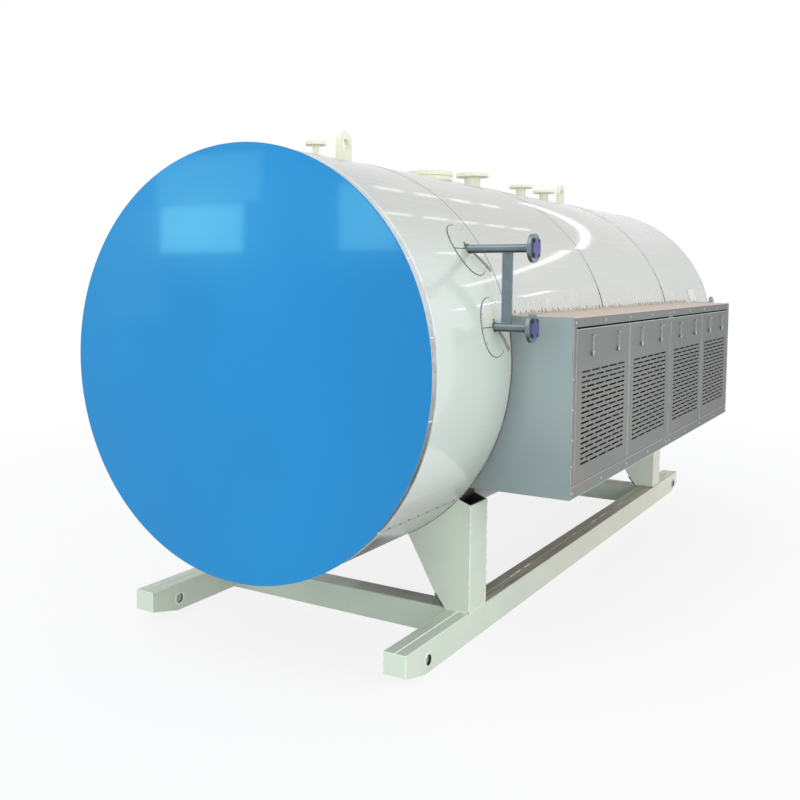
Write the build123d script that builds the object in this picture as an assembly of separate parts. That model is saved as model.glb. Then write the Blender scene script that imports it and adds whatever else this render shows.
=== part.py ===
"""Horizontal electric boiler on a two-rail skid, with clad drum and a side terminal cabinet.

Millimetres, +Z up. While it is modelled the drum's axis lies over x = 0 and the front cover's face on
y = 0, and the drum runs towards +Y. At the end all is moved to the middle of its footprint on the floor.
"""
from math import cos, radians, sin, sqrt
from typing import NamedTuple
import os

from build123d import *

os.makedirs("parts", exist_ok=True)

# Drum
drum_length = 5650
axis_height = 1493
clad_radius = 1080
clad_thickness = 62
shell_wall = 14
cover_lip = 5
cover_thickness = 8
band_width = 58
band_recess = 4
front_course = 890
sheet_width = 1590
hole_gap = 4
fit_gap = 0.3

# Skid rails
rail_outer_x = 870
rail_width = 128
rail_height = 160
rail_corner = 9
rail_front = 200
rail_rear_inset = 243
rail_nose = 49
rail_chamfer = 216
weld_groove = 4
sling_bore = 54
sling_tube = 70
sling_front_inset = 219
sling_rear_inset = 135
sling_height = 71
sling_rim = 6

# Cross members and saddle legs
saddle_front = 993
saddle_rear_inset = 986
cross_width = 145
cross_height = 155
leg_depth = 212
leg_plate = 12
leg_foot = 145
leg_kink_x = 57
leg_kink_z = 76
leg_inner_angle = 27.6
leg_outer_angle = 47.6
leg_shoulder = 28

# Terminal cabinet
cabinet_reach = 316
cabinet_above = 248
cabinet_below = 661
cabinet_front = 900
cabinet_rear_inset = 894
panel = 5
corner_width = 50
post_width = 34
post_head = 106
door_gap = 3
header_height = 51
sill_height = 60
shadow_gap = 10
frame_depth = 30
door_depth = 18
door_sheet = 2
vent_width = 736
vent_height = 469
vent_rise = 99
vent_rows = 19
slots_in_row = 5
slot_bridge = 26
slot_height = 8

# Door latches
latch_spread = 224
latch_drop = 35
latch_length = 98
latch_rod = 6
latch_reach = 12
latch_hook = 12.5
knob_width = 17
knob_height = 26

# Gauge pipes, their caps and brace, and the like side nozzle near the rear
gauge_y = 712
gauge_upper = 582
gauge_lower = 198
gauge_reach = 188
cap_width = 94
cap_thickness = 6
cap_corner = 22
cap_notch = 13
brace_reach = 46
brace_width = 52
brace_thickness = 12
patch_radius = 147
patch_thickness = 2
patch_slit = 3
side_rear_inset = 587
side_above = 224
side_reach = 125

# Inspection hole and lifting lugs
inspection_ahead = 770
inspection_outer = 290
inspection_wall = 12
inspection_lip = 10
inspection_lip_height = 14
inspection_height = 44
inspection_cover = 14
lug_front = 993
lug_rear_inset = 1090
lug_width = 132
lug_taper = 5
lug_height = 188
lug_thickness = 30
lug_hole = 70
lug_hole_height = 108


class FlangeSize(NamedTuple):
    """A standard pipe size with its flange."""
    pipe: float
    bore: float
    hub: float
    outer: float
    thickness: float
    face: float
    circle: float
    bolts: int
    hole: float


dn25 = FlangeSize(33.7, 27, 46, 115, 18, 68, 85, 4, 14)
dn32 = FlangeSize(42.4, 35, 56, 140, 18, 78, 100, 4, 18)
dn65 = FlangeSize(76.1, 66, 92, 185, 20, 122, 145, 8, 18)
dn100 = FlangeSize(114.3, 102, 138, 235, 24, 162, 190, 8, 22)
raised_face = 2
hub_length = 12

# Top nozzles: size, place along the drum and height of the flange's face over the cladding; the steam nozzle
# and the inspection hole are placed ahead of the drum's middle
vent_y, vent_nozzle_height = 709, 95
steam_ahead, steam_nozzle_height = 100, 112
steam_y = drum_length / 2 - steam_ahead
inspection_y = drum_length / 2 - inspection_ahead
relief_front_inset, relief_rear_inset, relief_nozzle_height = 2000, 1490, 105
top_nozzles = {
    "vent_nozzle": (dn25, vent_y, vent_nozzle_height),
    "steam_nozzle": (dn100, steam_y, steam_nozzle_height),
    "relief_nozzle_front": (dn65, drum_length - relief_front_inset, relief_nozzle_height),
    "relief_nozzle_rear": (dn65, drum_length - relief_rear_inset, relief_nozzle_height),
}

# Places that follow from the sizes
shell_radius = clad_radius - clad_thickness
cover_radius = clad_radius + cover_lip
band_radius = clad_radius - band_recess
clad_top = axis_height + clad_radius
body_front = cover_thickness + band_width
body_rear = drum_length - body_front
rail_rear = drum_length - rail_rear_inset
rail_inner_x = rail_outer_x - rail_width
saddles = {"front": saddle_front, "rear": drum_length - saddle_rear_inset}
lugs = {"front": lug_front, "rear": drum_length - lug_rear_inset}
cabinet_face_x = clad_radius + cabinet_reach
cabinet_rear = drum_length - cabinet_rear_inset
cabinet_top = axis_height + cabinet_above
cabinet_bottom = axis_height - cabinet_below
side_nozzles = {
    "gauge_pipe_upper": (gauge_y, axis_height + gauge_upper, clad_radius + gauge_reach),
    "gauge_pipe_lower": (gauge_y, axis_height + gauge_lower, clad_radius + gauge_reach),
    "side_nozzle_rear": (drum_length - side_rear_inset, axis_height + side_above, clad_radius + side_reach),
}

nodes = {}


def along_y(outer, start, end, inner=0):
    """Cylinder or tube on the drum's axis."""
    place = Plane(origin=(0, start, axis_height), x_dir=(1, 0, 0), z_dir=(0, 1, 0))
    section = Circle(outer) - Circle(inner) if inner else Circle(outer)
    return place * extrude(section, end - start)


def upright(radius, x, y, low, high):
    return Pos(x, y, low) * Cylinder(radius, high - low, align=(Align.CENTER, Align.CENTER, Align.MIN))


def sideways(radius, y, z, low, high):
    place = Plane(origin=(low, y, z), x_dir=(0, 1, 0), z_dir=(1, 0, 0))
    return place * Cylinder(radius, high - low, align=(Align.CENTER, Align.CENTER, Align.MIN))


def block(x0, x1, y0, y1, z0, z1):
    return Pos((x0 + x1) / 2, (y0 + y1) / 2, (z0 + z1) / 2) * Box(x1 - x0, y1 - y0, z1 - z0)


def mirrored(shape):
    return mirror(shape, about=Plane.YZ)


def nozzle(size, length):
    """Pipe and welding-neck flange along +Z, with the flange's face at the origin."""
    back = -raised_face - size.thickness
    profile = Polyline(
        (size.bore / 2, -length), (size.pipe / 2, -length), (size.pipe / 2, back - hub_length),
        (size.hub / 2, back), (size.outer / 2, back), (size.outer / 2, -raised_face),
        (size.face / 2, -raised_face), (size.face / 2, 0), (size.bore / 2, 0), close=True)
    body = revolve(Plane.XZ * make_face(profile), Axis.Z)
    holes = PolarLocations(size.circle / 2, size.bolts, 180 / size.bolts) * Cylinder(size.hole / 2, 4 * size.thickness)
    return body - holes


# Openings that the fittings make in the shell and the cladding
shell_cuts, clad_cuts = [], []
for size, y, _ in top_nozzles.values():
    shell_cuts.append(upright(size.bore / 2, 0, y, axis_height, clad_top))
    clad_cuts.append(upright(size.pipe / 2 + hole_gap, 0, y, axis_height, clad_top + panel))
shell_cuts.append(upright(inspection_outer / 2 - inspection_wall, 0, inspection_y, axis_height, clad_top))
clad_cuts.append(upright(inspection_outer / 2 + hole_gap, 0, inspection_y, axis_height, clad_top + panel))
for y, z, _ in side_nozzles.values():
    shell_cuts.append(sideways(dn32.bore / 2, y, z, 0, cabinet_face_x))
    clad_cuts.append(sideways(dn32.pipe / 2 + hole_gap, y, z, 0, cabinet_face_x))
for y in lugs.values():
    clad_cuts.append(block(-lug_thickness / 2 - hole_gap, lug_thickness / 2 + hole_gap,
                           y - lug_width / 2 - hole_gap, y + lug_width / 2 + hole_gap,
                           axis_height, clad_top + panel))

# Drum: pressure shell, cladding courses, and at each end a blue cover on a recessed band; the rear cover
# doesn't stand out over the band
nodes["pressure_shell"] = along_y(shell_radius, body_front, body_rear, shell_radius - shell_wall) - shell_cuts
seams = [front_course, front_course + sheet_width, front_course + 2 * sheet_width]
course_ends = [body_front, *seams, body_rear]
for number, (start, end) in enumerate(zip(course_ends, course_ends[1:]), 1):
    nodes[f"cladding_course_{number}"] = along_y(clad_radius, start, end, shell_radius) - clad_cuts
for name, face, turn, radius in (("front", 0, 1, cover_radius), ("rear", drum_length, -1, band_radius)):
    outer, inner = face + turn * cover_thickness, face + turn * body_front
    cover = along_y(radius, min(face, outer), max(face, outer))
    rim = cover.edges().filter_by(GeomType.CIRCLE).sort_by(Axis.Y)[0 if turn > 0 else -1]
    nodes[f"{name}_end_cover"] = fillet(rim, cover_thickness / 2)
    nodes[f"{name}_rim_ring"] = along_y(
        band_radius, min(outer, inner), max(outer, inner), shell_radius - shell_wall)

# Skid rails: pairs of channels welded toe to toe, with a sling tube through each end
side_outline = Plane.YZ * make_face(Polyline(
    (rail_front, rail_nose), (rail_front + rail_chamfer, 0), (rail_rear - rail_chamfer, 0),
    (rail_rear, rail_nose), (rail_rear, rail_height), (rail_front, rail_height), close=True))
rail = Pos(rail_outer_x, 0, 0) * extrude(side_outline, -rail_width)
rail = fillet(rail.edges().filter_by(Axis.Y), rail_corner)
seam_x = rail_outer_x - rail_width / 2
for z in (0, rail_height):
    bar = Pos(seam_x, (rail_front + rail_rear) / 2, z) * Rot(0, 45, 0) * Box(
        weld_groove, rail_rear - rail_front + panel, weld_groove)
    rail -= bar
for y in (rail_front + sling_front_inset, rail_rear - sling_rear_inset):
    rail += sideways(sling_tube / 2, y, sling_height, rail_inner_x, rail_outer_x + sling_rim)
    rail -= sideways(sling_bore / 2, y, sling_height, rail_inner_x - panel, rail_outer_x + 2 * sling_rim)
nodes["skid_rail_right"] = rail
nodes["skid_rail_left"] = mirrored(rail)

for name, y in saddles.items():
    beam = block(-rail_inner_x, rail_inner_x, y - cross_width / 2, y + cross_width / 2, 0, cross_height)
    beam = fillet(beam.edges().filter_by(Axis.X), rail_corner)
    for z in (0, cross_height):
        beam -= Pos(0, y, z) * Rot(45, 0, 0) * Box(2 * rail_inner_x, weld_groove, weld_groove)
    nodes[f"cross_member_{name}"] = beam


# Saddle legs: plate boxes, open at the top, with webs cut to the drum
def on_drum(angle):
    """Point on the cladding, as an angle from straight below the axis."""
    return clad_radius * sin(radians(angle)), axis_height - clad_radius * cos(radians(angle))


inner_x, inner_z = on_drum(leg_inner_angle)
outer_x, outer_z = on_drum(leg_outer_angle)
foot_x, foot_z = rail_outer_x - leg_foot, rail_height
kink = (foot_x - leg_kink_x, foot_z + leg_kink_z)
shoulder = outer_z - leg_shoulder
web = Plane.XZ * make_face(Polyline(
    (foot_x, foot_z), (rail_outer_x, foot_z), (rail_outer_x, shoulder), (outer_x, outer_z),
    (outer_x * 0.9, axis_height), (inner_x * 0.9, axis_height), (inner_x, inner_z), kink, close=True))
lining = 1.15 * leg_plate
inner_plate = Plane.XZ * make_face(Polyline(
    (foot_x, foot_z), (foot_x + lining, foot_z), (kink[0] + lining, kink[1]), (inner_x + lining, inner_z),
    (inner_x, inner_z + leg_depth), (inner_x, inner_z), kink, close=True))
for name, y in saddles.items():
    front_y, rear_y = y - leg_depth / 2, y + leg_depth / 2
    leg = Pos(0, front_y + leg_plate, 0) * extrude(web, leg_plate)
    leg += Pos(0, rear_y, 0) * extrude(web, leg_plate)
    leg += Pos(0, rear_y, 0) * extrude(inner_plate, leg_depth)
    leg += block(rail_outer_x - leg_plate, rail_outer_x, front_y, rear_y, foot_z, shoulder)
    leg -= along_y(clad_radius + fit_gap, front_y - panel, rear_y + panel)
    nodes[f"saddle_leg_{name}_right"] = leg
    nodes[f"saddle_leg_{name}_left"] = mirrored(leg)

# Top nozzles, inspection hole and lifting lugs stand on the pressure shell
seat = along_y(shell_radius, 0, drum_length)
for name, (size, y, height) in top_nozzles.items():
    nodes[name] = Pos(0, y, clad_top + height) * nozzle(size, height + clad_radius / 2) - seat

inspection_face = clad_top + inspection_height
inside, outside = inspection_outer / 2 - inspection_wall, inspection_outer / 2
neck = revolve(Plane.XZ * make_face(Polyline(
    (inside, -clad_radius / 2), (outside, -clad_radius / 2), (outside, -inspection_lip_height - inspection_lip / 2),
    (outside + inspection_lip, -inspection_lip_height), (outside + inspection_lip, 0), (inside, 0), close=True)), Axis.Z)
nodes["inspection_neck"] = Pos(0, inspection_y, inspection_face) * neck - seat
lid = upright(outside + inspection_lip, 0, inspection_y, inspection_face, inspection_face + inspection_cover)
nodes["inspection_cover"] = fillet(lid.edges().filter_by(GeomType.CIRCLE).sort_by(Axis.Z)[-1], inspection_cover / 4)

lug_round = lug_width / 2 - lug_taper
lug_outline = Plane.YZ * make_face(
    Polyline((-lug_round, lug_height - lug_round), (-lug_width / 2, 0), (-lug_width / 2, -clad_thickness - panel),
             (lug_width / 2, -clad_thickness - panel), (lug_width / 2, 0), (lug_round, lug_height - lug_round))
    + ThreePointArc((lug_round, lug_height - lug_round), (0, lug_height), (-lug_round, lug_height - lug_round)))
for name, y in lugs.items():
    lug = Pos(0, y, clad_top) * extrude(lug_outline, lug_thickness / 2, both=True) - seat
    lug -= sideways(lug_hole / 2, y, clad_top + lug_hole_height, -lug_thickness, lug_thickness)
    nodes[f"lifting_lug_{name}"] = lug

# Side nozzles
for name, (y, z, face_x) in side_nozzles.items():
    place = Plane(origin=(face_x, y, z), x_dir=(0, 1, 0), z_dir=(1, 0, 0))
    nodes[name] = place * nozzle(dn32, face_x) - seat

# Gauge pipes: round cladding patches, slit to the pipe, plastic flange caps and a brace between the pipes
for name, above in (("upper", gauge_upper), ("lower", gauge_lower)):
    reach = sqrt(clad_radius**2 - above**2)
    radial = Plane(origin=(0, gauge_y, axis_height), x_dir=(0, 1, 0), z_dir=(reach, 0, above))
    disc = radial * Cylinder(patch_radius, cabinet_face_x, align=(Align.CENTER, Align.CENTER, Align.MIN))
    start, end = gauge_y - 2 * patch_radius, gauge_y + 2 * patch_radius
    patch = along_y(clad_radius + patch_thickness, start, end, clad_radius) & disc
    patch -= sideways(dn32.pipe / 2 + hole_gap, gauge_y, axis_height + above, 0, cabinet_face_x)
    slit = axis_height + above - patch_slit / 2
    patch -= block(0, cabinet_face_x, start, gauge_y, slit, slit + patch_slit)
    nodes[f"cladding_patch_{name}"] = patch
    half = cap_width / 2
    outline = Rectangle(cap_width, cap_width)
    outline = chamfer(outline.vertices(), cap_corner)
    outline -= PolarLocations(dn32.circle / 2, dn32.bolts, 180 / dn32.bolts) * Circle(cap_notch)
    place = Plane(origin=(clad_radius + gauge_reach, gauge_y, axis_height + above), x_dir=(0, 1, 0), z_dir=(1, 0, 0))
    nodes[f"flange_cap_{name}"] = place * extrude(outline, cap_thickness)
brace_x = clad_radius + brace_reach
nodes["gauge_brace"] = block(
    brace_x - brace_width / 2, brace_x + brace_width / 2, gauge_y - brace_thickness / 2,
    gauge_y + brace_thickness / 2, axis_height + gauge_lower + dn32.pipe / 2 + fit_gap,
    axis_height + gauge_upper - dn32.pipe / 2 - fit_gap)

# Cabinet: end panels cut to the drum, top plate, floor, and a front of header, sill and posts
drum_space = along_y(clad_radius + fit_gap, 0, drum_length)
inside_front, inside_rear = cabinet_front + panel, cabinet_rear - panel
frame_x = cabinet_face_x - frame_depth
for name, y in (("front", cabinet_front), ("rear", inside_rear)):
    nodes[f"cabinet_{name}_panel"] = block(
        0, cabinet_face_x, y, y + panel, cabinet_bottom, cabinet_top) - drum_space
for name, z in (("top_plate", cabinet_top - panel), ("floor", cabinet_bottom)):
    nodes[f"cabinet_{name}"] = block(0, cabinet_face_x, inside_front, inside_rear, z, z + panel) - drum_space
door_low = cabinet_bottom + sill_height
header_low = cabinet_top - header_height
door_high = header_low - shadow_gap
nodes["cabinet_header"] = block(
    frame_x, cabinet_face_x, inside_front, inside_rear, header_low, cabinet_top - panel)
nodes["cabinet_sill"] = block(
    frame_x, cabinet_face_x, inside_front, inside_rear, cabinet_bottom + panel, door_low)

centre_y = (cabinet_front + cabinet_rear) / 2
centre_post = block(frame_x, cabinet_face_x, centre_y - post_width / 2, centre_y + post_width / 2, door_low, header_low)
centre_post += block(frame_x, cabinet_face_x, centre_y - post_head / 2, centre_y + post_head / 2,
                     door_high + fit_gap, header_low)
corner_posts = [block(frame_x, cabinet_face_x, y, y + corner_width, door_low, header_low)
                for y in (inside_front, inside_rear - corner_width)]
nodes["cabinet_posts"] = Compound(children=[centre_post, *corner_posts])


# Doors: shallow sheet pans with staggered rows of slots; every second row starts and ends on a half slot
def row_slots(row):
    """Middles and widths of one row's slots, from the middle of the door."""
    width = (vent_width - (slots_in_row - 1) * slot_bridge) / slots_in_row
    pitch = width + slot_bridge
    if row % 2 == 0:
        return [((i - (slots_in_row - 1) / 2) * pitch, width) for i in range(slots_in_row)]
    short = (width - slot_bridge) / 2
    edge = (vent_width - short) / 2
    full = [((i - (slots_in_row - 2) / 2) * pitch, width) for i in range(slots_in_row - 1)]
    return [(-edge, short), *full, (edge, short)]


bay = (centre_y - post_width / 2) - (inside_front + corner_width)
door_width = (bay - 3 * door_gap) / 2
door_height = door_high - door_low
sheet = Pos(0, door_height / 2) * Rectangle(door_width, door_height)
slots = []
for row in range(vent_rows):
    height = vent_rise + row * vent_height / (vent_rows - 1)
    slots += [Pos(middle, height) * Rectangle(width, slot_height) for middle, width in row_slots(row)]
rim = Pos(0, door_height / 2) * (
    Rectangle(door_width, door_height) - Rectangle(door_width - 2 * door_sheet, door_height - 2 * door_sheet))
pan = extrude(sheet - slots, -door_sheet) + extrude(rim, -door_depth)
door_middles = [start + door_gap + door_width / 2 + step * (door_width + door_gap)
                for start in (inside_front + corner_width, centre_y + post_width / 2) for step in range(2)]
for number, y in enumerate(door_middles, 1):
    nodes[f"cabinet_door_{number}"] = Plane(
        origin=(cabinet_face_x, y, door_low), x_dir=(0, 1, 0), z_dir=(1, 0, 0)) * pan

# Latches: a rod on two short feet, bent outwards at its head, with a knob at its foot
rod_x = cabinet_face_x + latch_reach - latch_rod / 2
latch_top = door_high - latch_drop
latch_low = latch_top - latch_length
knob = extrude(RegularPolygon(knob_width / 2, 8), knob_height / 2, both=True)
knob = chamfer(knob.faces().filter_by(Axis.Z).edges(), knob_width / 5)
latches = []
for y in [middle + side * latch_spread for middle in door_middles for side in (-1, 1)]:
    latch = block(rod_x - latch_rod / 2, rod_x + latch_rod / 2, y - latch_rod / 2, y + latch_rod / 2,
                  latch_low, latch_top)
    latch += block(cabinet_face_x, cabinet_face_x + latch_reach + latch_hook, y - latch_rod / 2, y + latch_rod / 2,
                   latch_top - latch_rod, latch_top)
    latch += block(cabinet_face_x, rod_x, y - latch_rod / 2, y + latch_rod / 2, latch_low, latch_low + latch_rod)
    latch += Pos(rod_x, y, latch_low) * knob
    latches.append(latch)
nodes["door_latches"] = Compound(children=latches)

# The origin goes to the middle of the footprint, on the floor
boxes = [shape.bounding_box() for shape in nodes.values()]
low_x, high_x = min(box.min.X for box in boxes), max(box.max.X for box in boxes)
low_y, high_y = min(box.min.Y for box in boxes), max(box.max.Y for box in boxes)
to_origin = Pos(-(low_x + high_x) / 2, -(low_y + high_y) / 2, 0)
for name, shape in nodes.items():
    export_step(to_origin * shape, f"parts/{name}.step")
print("moved by", -(low_x + high_x) / 2, -(low_y + high_y) / 2)
print("size", high_x - low_x, high_y - low_y, max(box.max.Z for box in boxes))
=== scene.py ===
"""Horizontal electric boiler: finishes, sheet laps, weld beads and small fittings around the CAD frame."""
import math
import random

import bmesh
import bpy
from mathutils import Matrix, Vector


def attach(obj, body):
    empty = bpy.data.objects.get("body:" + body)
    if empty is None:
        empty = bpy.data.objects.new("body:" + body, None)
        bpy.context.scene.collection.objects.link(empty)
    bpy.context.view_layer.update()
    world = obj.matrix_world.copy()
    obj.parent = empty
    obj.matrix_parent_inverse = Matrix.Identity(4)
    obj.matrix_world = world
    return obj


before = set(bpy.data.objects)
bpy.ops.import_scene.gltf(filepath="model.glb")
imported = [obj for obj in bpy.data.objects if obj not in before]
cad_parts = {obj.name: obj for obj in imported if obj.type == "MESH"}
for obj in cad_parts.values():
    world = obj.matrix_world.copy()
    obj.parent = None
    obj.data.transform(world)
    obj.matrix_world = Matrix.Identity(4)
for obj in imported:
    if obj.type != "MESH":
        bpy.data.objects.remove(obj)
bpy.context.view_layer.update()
scene = bpy.context.scene
scene.view_settings.view_transform = "Standard"
chance = random.Random(4)
X, Y, Z = range(3)

# Drum millimetres: the axis lies over x = 0 and the front cover's face is on y = 0
ORIGIN = Vector((-0.16775, -2.825, 0.0))
TO_FRAME = Matrix.Translation(ORIGIN) @ Matrix.Scale(0.001, 4)
AXIS, CLAD, LENGTH = 1493, 1080, 5650
CLAD_TOP = AXIS + CLAD
BAND_END = 66
BAND_JOINTS = (9.5, 29, -10, 62, 118, 171, 209, 262, 318)
SEAMS, SEAM_LAP = (890, 2480, 4070), 58
LAP_ANGLE, RIVET_PITCH = -41, 96
REPAIR_ANGLE, REPAIR_FRONT, REPAIR_REAR, REPAIR_HEIGHT = 16.45, 4916, 5158, 106

CABINET_FACE, CABINET_TOP, CABINET_BOTTOM = 1396, 1741, 832
CABINET_FRONT, CABINET_REAR = 900, 4756
DOOR_MIDDLES = (1419.75, 2346.25, 3309.75, 4236.25)
DOOR_HALF, DOOR_LOW, DOOR_HIGH = 461.75, 892, 1680
SLOT_ROWS, SLOT_LOW, SLOT_RISE = 19, DOOR_LOW + 99, 469 / 18
SLOT_PITCH, SLOT_HALF, SLOT_RADIUS, SLOTS_REACH = 152.4, 64.2, 5.1, 369
HEADER_SCREWS = (944, 1422, 1888, 2367, 2795, 2897, 3361, 3822, 4291, 4712)
SILL_SCREWS = (932, 1405, 1878, 2338, 2790, 2866, 3330, 3790, 4270, 4722)
POST_SCREWS = (1283, 1433, 1130, 1000)

RAIL_OUTER, RAIL_WIDTH, RAIL_TOP, RAIL_NOSE = 870, 128, 160, 49
RAIL_INNER, RAIL_SEAM = RAIL_OUTER - RAIL_WIDTH, RAIL_OUTER - RAIL_WIDTH / 2
RAIL_FRONT, RAIL_REAR = 200, 5407
SLING_PLACES, SLING_BORE = ((419, 71), (5272, 71)), 33
SADDLES, SADDLE_REACH = (993, 4664), 1.8355
LEG_DEPTH, LEG_TOP, LEG_INNER, LEG_OUTER = 212, 735, -62.2, -42.8

GAUGE_Y, GAUGE_HEIGHTS, GAUGE_REACH = 712, (2075, 1691), 188
PIPE_RADIUS, CAP_BOLT = 21.2, 35.4
BRACE_INNER, BRACE_OUTER, FLANGE_BACK = 1101, 1151, 1246.5
PATCH_LINE, PATCH_SCREW = 149, 136

# Place along the drum and the width of what stands on it
TOP_FITTINGS = {"vent": (709, 33.7), "steam": (2725, 114.3), "relief_front": (3650, 76.1),
                "relief_rear": (4160, 76.1), "inspection": (2055, 290)}
LUGS, LUG_HALF, LUG_THICKNESS = (993, 4560), 66, 32

CAMERA_PLACE, CAMERA_UNIT = (2.7114, -3.348, 1.7746), 1085
CAMERA_YAW, CAMERA_PITCH, CAMERA_ROLL = 32.8514, -3.8734, 0.3554
CAMERA_FOCUS, CAMERA_MIDDLE, PICTURE = 951.3183, (336, 342.6706), 800


def set_camera():
    data = bpy.data.cameras.new("camera")
    data.sensor_width = 36
    data.lens = CAMERA_FOCUS / PICTURE * data.sensor_width
    data.shift_x = (PICTURE / 2 - CAMERA_MIDDLE[0]) / PICTURE
    data.shift_y = (CAMERA_MIDDLE[1] - PICTURE / 2) / PICTURE
    data.clip_end = 200
    obj = bpy.data.objects.new("camera", data)
    scene.collection.objects.link(obj)
    turn, tip, roll = (math.radians(v) for v in (CAMERA_YAW, -CAMERA_PITCH, CAMERA_ROLL))
    back = Vector((math.sin(turn) * math.cos(tip), -math.cos(turn) * math.cos(tip), math.sin(tip)))
    right = Vector((math.cos(turn), math.sin(turn), 0))
    up = back.cross(right)
    level_right = right * math.cos(roll) + up * math.sin(roll)
    level_up = up * math.cos(roll) - right * math.sin(roll)
    facing = Matrix((level_right, level_up, back)).transposed().to_4x4()
    eye = TO_FRAME @ (Vector(CAMERA_PLACE) * CAMERA_UNIT)
    obj.matrix_world = Matrix.Translation(eye) @ facing
    scene.camera = obj


# Finishes
def shade(colour):
    """A colour as it is seen, each part 0 to 255, in linear light."""
    return tuple((part / 255) ** 2.2 for part in colour) + (1.0,)


class Finish:
    """A material with a Principled shader, built from patterns on Object coordinates in metres."""

    def __init__(self, name, colour, roughness, metallic=0.0, coat=0.0, specular=0.5):
        self.material = bpy.data.materials.new(name)
        self.material.use_nodes = True
        self.tree = self.material.node_tree
        self.shader = self.tree.nodes["Principled BSDF"]
        self.first = shade(colour)
        for socket, value in (("Base Color", self.first), ("Roughness", roughness), ("Metallic", metallic),
                              ("Coat Weight", coat), ("Coat Roughness", 0.05),
                              ("Specular IOR Level", specular)):
            self.shader.inputs[socket].default_value = value
        self.coordinates = self.tree.nodes.new("ShaderNodeTexCoord")
        self.colour = None
        self.normal = None

    def link(self, source, target):
        self.tree.links.new(source, target)

    def noise(self, scale, detail, rough, stretch=(1, 1, 1)):
        """Cloudy noise whose coordinates are stretched by a factor along each axis."""
        spread = self.tree.nodes.new("ShaderNodeMapping")
        spread.vector_type = "POINT"
        spread.inputs["Scale"].default_value = stretch
        self.link(self.coordinates.outputs["Object"], spread.inputs["Vector"])
        node = self.tree.nodes.new("ShaderNodeTexNoise")
        node.inputs["Scale"].default_value = scale
        node.inputs["Detail"].default_value = detail
        node.inputs["Roughness"].default_value = rough
        self.link(spread.outputs["Vector"], node.inputs["Vector"])
        return node.outputs["Fac"]

    def one_axis(self, kind, axis):
        node = self.tree.nodes.new("ShaderNodeSeparateXYZ")
        self.link(self.coordinates.outputs[kind], node.inputs[0])
        return node.outputs[axis]

    def place(self, axis):
        """Where the surface is on an axis, in metres."""
        return self.one_axis("Object", axis)

    def facing(self, axis):
        """How far the surface faces along an axis, -1 to 1."""
        return self.one_axis("Normal", axis)

    def ramp(self, value, low, high, start=0.0, end=1.0):
        """A value turned into start on the low side and end on the high side, smoothly between."""
        node = self.tree.nodes.new("ShaderNodeMapRange")
        node.interpolation_type = "SMOOTHSTEP"
        for name, number in (("From Min", low), ("From Max", high), ("To Min", start), ("To Max", end)):
            node.inputs[name].default_value = number
        self.link(value, node.inputs["Value"])
        return node.outputs["Result"]

    def fade(self, axis, start, end, amount=1.0):
        """Nothing at one place on an axis and the full amount at another."""
        return self.ramp(self.place(axis), start, end, 0, amount)

    def turned(self, axis, start, end, amount=1.0):
        """Nothing where the surface faces one way and the full amount where it faces another."""
        return self.ramp(self.facing(axis), start, end, 0, amount)

    def work_out(self, operation, first, second=0.0):
        node = self.tree.nodes.new("ShaderNodeMath")
        node.operation = operation
        for socket, value in zip(node.inputs, (first, second)):
            if isinstance(value, (int, float)):
                socket.default_value = value
            else:
                self.link(value, socket)
        return node.outputs[0]

    def times(self, first, *others):
        for other in others:
            first = self.work_out("MULTIPLY", first, other)
        return first

    def plus(self, first, second):
        return self.work_out("ADD", first, second)

    def most(self, first, second):
        return self.work_out("MAXIMUM", first, second)

    def apart(self, value, middle=0.0):
        """How far a value lies from a middle, either way."""
        return self.work_out("ABSOLUTE", self.work_out("SUBTRACT", value, middle))

    def squares(self, *terms):
        """The sum of two squared distances, each from a middle and in units of a size."""
        return self.plus(*(self.work_out("POWER", self.times(self.plus(value, -middle), 1 / size), 2)
                           for value, middle, size in terms))

    def tint(self, colour, amount):
        """Lays a colour over what is there, by an amount that varies over the surface."""
        node = self.tree.nodes.new("ShaderNodeMix")
        node.data_type = "RGBA"
        under, over = node.inputs[6], node.inputs[7]
        self.link(amount, node.inputs["Factor"])
        if self.colour is None:
            under.default_value = self.first
        else:
            self.link(self.colour, under)
        over.default_value = shade(colour)
        self.colour = node.outputs[2]
        self.link(self.colour, self.shader.inputs["Base Color"])

    def mottle(self, colour, pattern, low, high, amount=1.0):
        """Lays a colour over what is there in the clouds of a noise pattern."""
        self.tint(colour, self.ramp(self.noise(*pattern), low, high, 0, amount))

    def gloss(self, value, low, high):
        self.link(self.ramp(value, 0.3, 0.7, low, high), self.shader.inputs["Roughness"])

    def relief(self, value, depth, strength):
        node = self.tree.nodes.new("ShaderNodeBump")
        node.inputs["Distance"].default_value = depth
        node.inputs["Strength"].default_value = strength
        self.link(value, node.inputs["Height"])
        if self.normal is not None:
            self.link(self.normal, node.inputs["Normal"])
        self.normal = node.outputs["Normal"]
        self.link(self.normal, self.shader.inputs["Normal"])


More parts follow.
